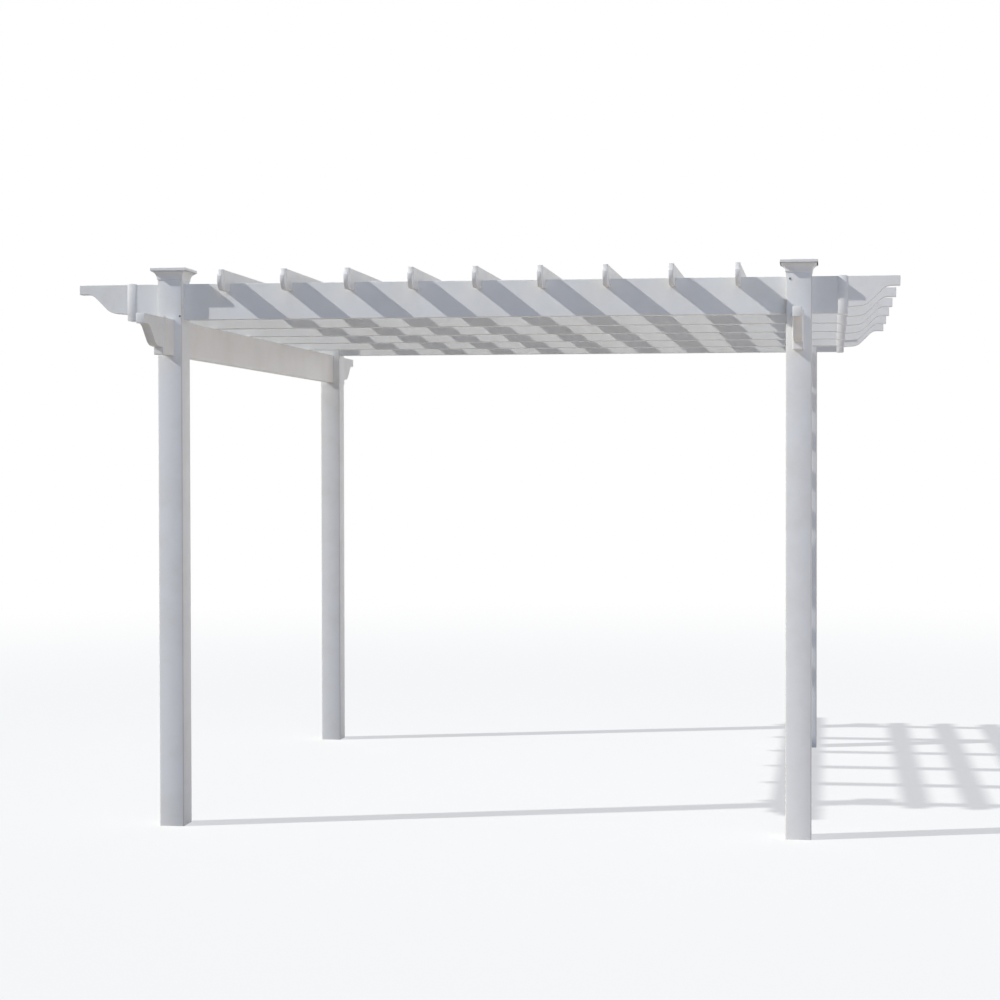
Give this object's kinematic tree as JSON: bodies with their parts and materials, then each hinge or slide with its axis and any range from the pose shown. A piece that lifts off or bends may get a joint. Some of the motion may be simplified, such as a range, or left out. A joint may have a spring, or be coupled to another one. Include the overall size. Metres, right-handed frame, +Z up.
{
  "type": "garden pergola",
  "caption": "White vinyl pergola: square posts with caps, side beams, rafters with ogee end caps and notched purlins as an open slatted roof.",
  "frame": {"origin": "on the ground, at the centre of the four posts", "axes": "+X along the rafters to the viewer's right, +Y to the back, +Z up"},
  "size_m": [4.19, 4.18, 2.865],
  "materials": {
    "post_vinyl": "satin white extrusion",
    "beam_vinyl": "satin white extrusion",
    "purlin_vinyl": "satin white extrusion",
    "moulded_vinyl": "smooth white moulding"
  },
  "bodies": {
    "root": {"post_front_left": "post_vinyl", "post_cap_front_left": "moulded_vinyl", "post_front_right": "post_vinyl", "post_cap_front_right": "moulded_vinyl", "post_back_left": "post_vinyl", "post_cap_back_left": "moulded_vinyl", "post_back_right": "post_vinyl", "post_cap_back_right": "moulded_vinyl", "side_beam_left": "beam_vinyl", "side_beam_end_cap_front_left": "moulded_vinyl", "side_beam_end_cap_back_left": "moulded_vinyl", "side_beam_right": "beam_vinyl", "side_beam_end_cap_front_right": "moulded_vinyl", "side_beam_end_cap_back_right": "moulded_vinyl", "rafter_1": "beam_vinyl", "rafter_end_cap_1_left": "moulded_vinyl", "rafter_end_cap_1_right": "moulded_vinyl", "rafter_2": "beam_vinyl", "rafter_end_cap_2_left": "moulded_vinyl", "rafter_end_cap_2_right": "moulded_vinyl", "rafter_3": "beam_vinyl", "rafter_end_cap_3_left": "moulded_vinyl", "rafter_end_cap_3_right": "moulded_vinyl", "rafter_4": "beam_vinyl", "rafter_end_cap_4_left": "moulded_vinyl", "rafter_end_cap_4_right": "moulded_vinyl", "rafter_5": "beam_vinyl", "rafter_end_cap_5_left": "moulded_vinyl", "rafter_end_cap_5_right": "moulded_vinyl", "rafter_6": "beam_vinyl", "rafter_end_cap_6_left": "moulded_vinyl", "rafter_end_cap_6_right": "moulded_vinyl", "purlin_1": "purlin_vinyl", "purlin_2": "purlin_vinyl", "purlin_3": "purlin_vinyl", "purlin_4": "purlin_vinyl", "purlin_5": "purlin_vinyl", "purlin_6": "purlin_vinyl", "purlin_7": "purlin_vinyl", "purlin_8": "purlin_vinyl", "purlin_9": "purlin_vinyl", "purlin_end_caps_front": "moulded_vinyl", "purlin_end_caps_back": "moulded_vinyl"}
  },
  "joints": []
}
